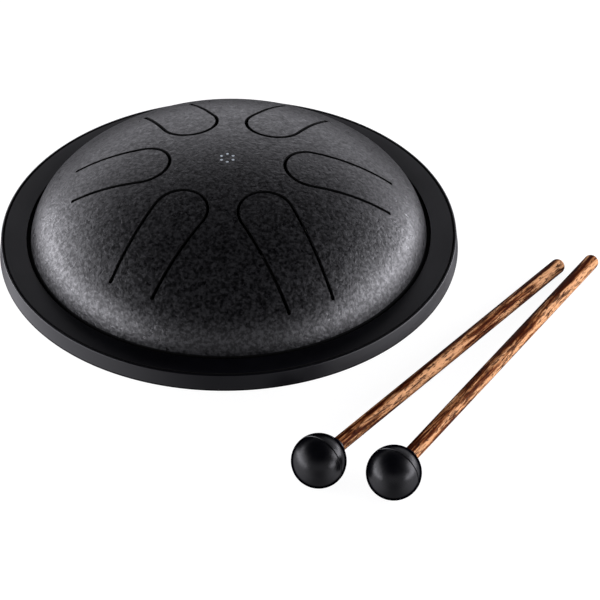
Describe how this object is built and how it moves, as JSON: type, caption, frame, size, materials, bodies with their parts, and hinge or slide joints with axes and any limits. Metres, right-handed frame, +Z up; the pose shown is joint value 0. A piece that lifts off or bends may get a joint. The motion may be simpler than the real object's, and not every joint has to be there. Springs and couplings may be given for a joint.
{
  "type": "steel tongue drum",
  "caption": "Mini steel tongue drum: a slotted pressed steel dome on a shallow pan with a sound hole, a rubber rim ring and feet, and a pair of ball mallets.",
  "frame": {"origin": "centre of the sound hole on the underside of the bottom pan, on the drum's axis", "axes": "+Z up along the drum's axis, -Y towards the player"},
  "size_m": [0.2394, 0.2212, 0.0689],
  "materials": {
    "shell_coat": "matte wrinkle powder coat",
    "seal": "matte",
    "ring_rubber": "smooth matte",
    "foot_rubber": "matte",
    "fastener_steel": "zinc plated",
    "stick_wood": "oiled, dark streaks along the grain",
    "head_rubber": "satin"
  },
  "bodies": {
    "drum": {"top_shell": "shell_coat", "bottom_shell": "shell_coat", "flange_seal": "seal", "rim_ring": "ring_rubber", "foot_1": "foot_rubber", "foot_2": "foot_rubber", "foot_3": "foot_rubber", "foot_4": "foot_rubber", "foot_screws": "fastener_steel", "foot_washers": "fastener_steel", "foot_nuts": "fastener_steel"},
    "mallet_left": {"stick_left": "stick_wood", "head_left": "head_rubber"},
    "mallet_right": {"stick_right": "stick_wood", "head_right": "head_rubber"}
  },
  "joints": [
    {"name": "mallet_left_lift", "type": "slide", "parent": "drum", "child": "mallet_left", "axis": [0, 0, 1], "range_m": [0, 0.15]},
    {"name": "mallet_right_lift", "type": "slide", "parent": "drum", "child": "mallet_right", "axis": [0, 0, 1], "range_m": [0, 0.15]}
  ]
}
